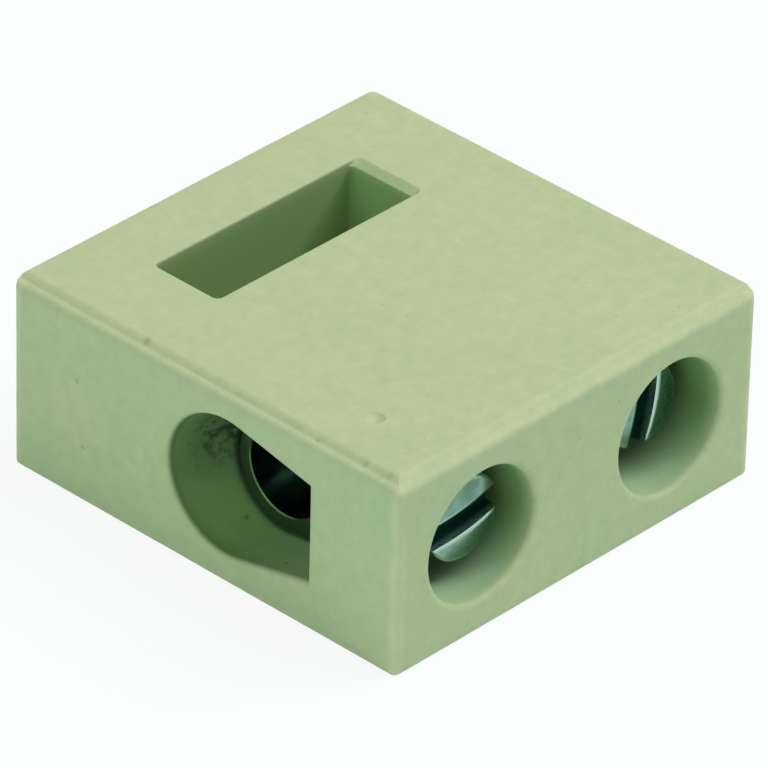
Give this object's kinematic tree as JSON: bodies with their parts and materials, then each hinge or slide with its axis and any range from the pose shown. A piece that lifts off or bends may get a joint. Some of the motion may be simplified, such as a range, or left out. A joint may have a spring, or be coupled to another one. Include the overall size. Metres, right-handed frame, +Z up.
{
  "type": "rectangular terminal block",
  "caption": "Rectangular ceramic terminal block: a plated brass bar in a funnel-ended wire passage, slotted screws that clamp the conductors from one side, and a slot to fix it down.",
  "frame": {"origin": "centre of the block's underside", "axes": "+X along the wire passage, +Y from the screw face to the back, +Z up through the fixing slot"},
  "size_m": [0.025, 0.0258, 0.0108],
  "materials": {
    "green_ceramic": "matte",
    "nickel_plate": "satin",
    "zinc_plate": "satin"
  },
  "bodies": {
    "housing": {"block": "green_ceramic", "terminal_bar": "nickel_plate"},
    "left_screw": {"left_clamp_screw": "zinc_plate"},
    "right_screw": {"right_clamp_screw": "zinc_plate"}
  },
  "joints": [
    {"name": "left_screw_travel", "type": "slide", "parent": "housing", "child": "left_screw", "axis": [0, 1, 0], "range_m": [-0.0006, 0.00325]},
    {"name": "right_screw_travel", "type": "slide", "parent": "housing", "child": "right_screw", "axis": [0, 1, 0], "range_m": [-0.0012, 0.00265]}
  ]
}
